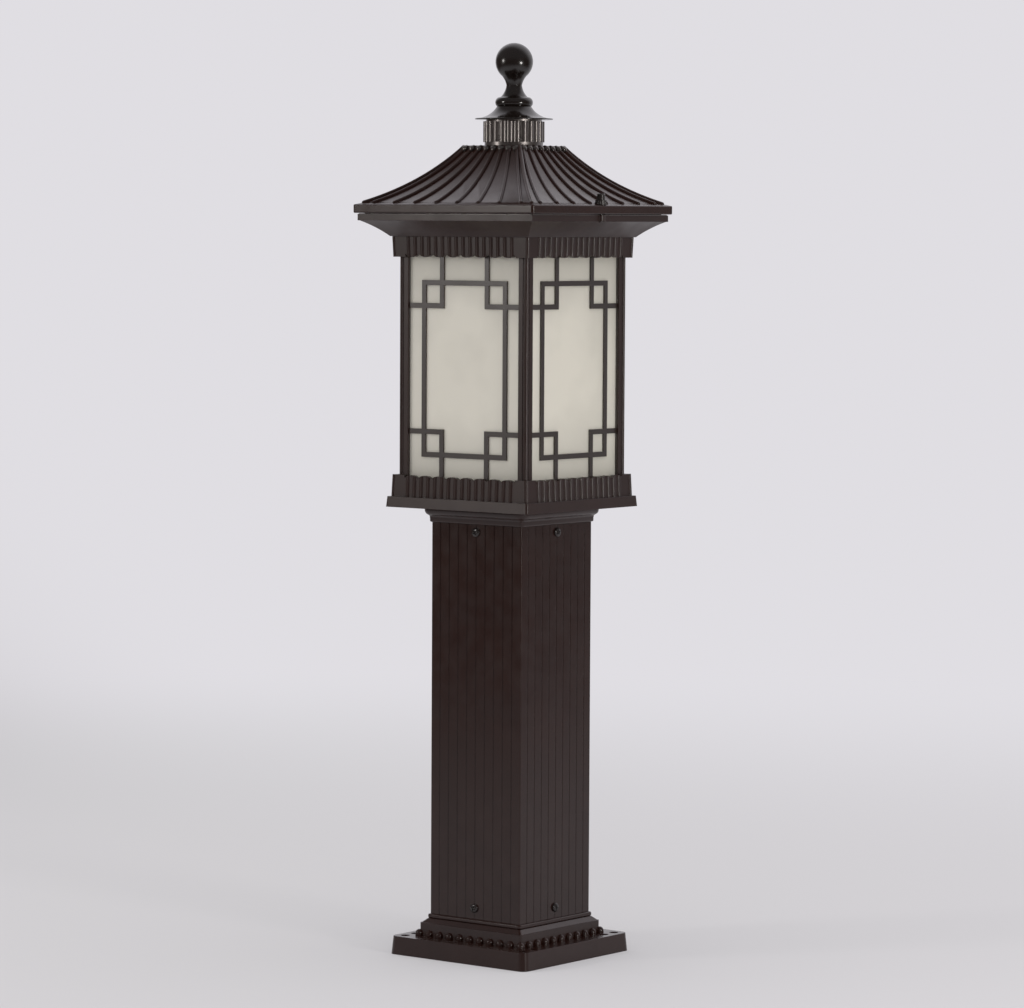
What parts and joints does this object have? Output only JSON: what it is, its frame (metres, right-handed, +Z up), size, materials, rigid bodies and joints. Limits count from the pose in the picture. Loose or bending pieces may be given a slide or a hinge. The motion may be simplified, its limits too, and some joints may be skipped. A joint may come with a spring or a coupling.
{
  "type": "post lantern",
  "caption": "Square post lantern: a tiled-look hipped roof that hinges open, frosted panes behind a lattice, reeded lobed trims, a fluted post and a bolted foot plate with a beaded block.",
  "frame": {"origin": "middle of the underside of the foot plate, on the ground", "axes": "+Z up along the post; the front is -Y, the roof screw is on +X and the roof hinge on -X"},
  "size_m": [0.2611, 0.2498, 1],
  "materials": {
    "bronze_coat": "satin coffee-bronze powder coat",
    "bronze_hardware": "satin coffee-bronze finish",
    "frosted_glass": "frosted, cream white",
    "rubber_black": "matt",
    "steel_hardware": "bright",
    "zinc_strip": "zinc plated",
    "white_ceramic": "glazed",
    "nickel_shell": "nickel plated",
    "brass_contacts": "bright",
    "opal_globe": "opal",
    "terminal_plastic": "natural",
    "lead_brown": "insulation",
    "lead_blue": "insulation",
    "lead_green": "insulation"
  },
  "bodies": {
    "lantern": {"bracket_screws": "steel_hardware", "cable_clamp": "zinc_strip", "cable_clamp_screws": "steel_hardware", "cable_grommet": "rubber_black", "corner_post_left_back": "bronze_coat", "corner_post_left_front": "bronze_coat", "corner_post_right_back": "bronze_coat", "corner_post_right_front": "bronze_coat", "crown_casting": "bronze_coat", "earth_lead": "lead_green", "earth_screw": "steel_hardware", "earth_tag": "brass_contacts", "foot_casting": "bronze_coat", "frame_screws_lower": "steel_hardware", "frame_screws_upper": "steel_hardware", "glass_back": "frosted_glass", "glass_cushions": "rubber_black", "glass_front": "frosted_glass", "glass_left": "frosted_glass", "glass_right": "frosted_glass", "hinge_clips": "steel_hardware", "hinge_pins": "steel_hardware", "lamp_bracket": "zinc_strip", "lampholder_body": "white_ceramic", "lampholder_contact": "brass_contacts", "lampholder_screws": "steel_hardware", "lampholder_shell": "nickel_shell", "lattice_back": "bronze_coat", "lattice_front": "bronze_coat", "lattice_left": "bronze_coat", "lattice_right": "bronze_coat", "lid_gasket": "rubber_black", "live_lead": "lead_brown", "neck_bolts": "steel_hardware", "neck_casting": "bronze_coat", "neutral_lead": "lead_blue", "post_screws_foot": "bronze_hardware", "post_screws_neck": "bronze_hardware", "post_tube": "bronze_coat", "terminal_block": "terminal_plastic", "terminal_fixing_screws": "steel_hardware", "terminal_screws": "brass_contacts", "tray_casting": "bronze_coat"},
    "roof": {"roof_shell": "bronze_coat", "finial_drum": "bronze_coat", "finial_hat": "bronze_coat", "finial_ball": "bronze_coat", "finial_stud": "steel_hardware", "finial_washer": "steel_hardware", "finial_nut": "steel_hardware"},
    "screw_carrier": {"roof_screw_washer": "bronze_hardware"},
    "roof_screw": {"roof_screw": "bronze_hardware"},
    "bulb": {"bulb_globe": "opal_globe", "bulb_cap": "nickel_shell"}
  },
  "joints": [
    {"name": "roof_hinge", "type": "hinge", "parent": "lantern", "child": "roof", "pos_m": [-0.1305, 0, 0.8125], "axis": [0, -1, 0], "range_deg": [0, 100]},
    {"name": "roof_screw_lift", "type": "slide", "parent": "roof", "child": "screw_carrier", "axis": [0, 0, 1], "range_m": [0, 0.0081]},
    {"name": "roof_screw_turn", "type": "hinge", "parent": "screw_carrier", "child": "roof_screw", "pos_m": [0.1199, 0, 0.8246], "axis": [0, 0, 1], "range_deg": [0, 3600]},
    {"name": "bulb_lift", "type": "slide", "parent": "lantern", "child": "bulb", "axis": [0, 0, 1], "range_m": [0, 0.12]}
  ],
  "couplings": [
    {"joint": "roof_screw_lift", "follows": "roof_screw_turn", "m_per_rad": 0.00012732}
  ]
}
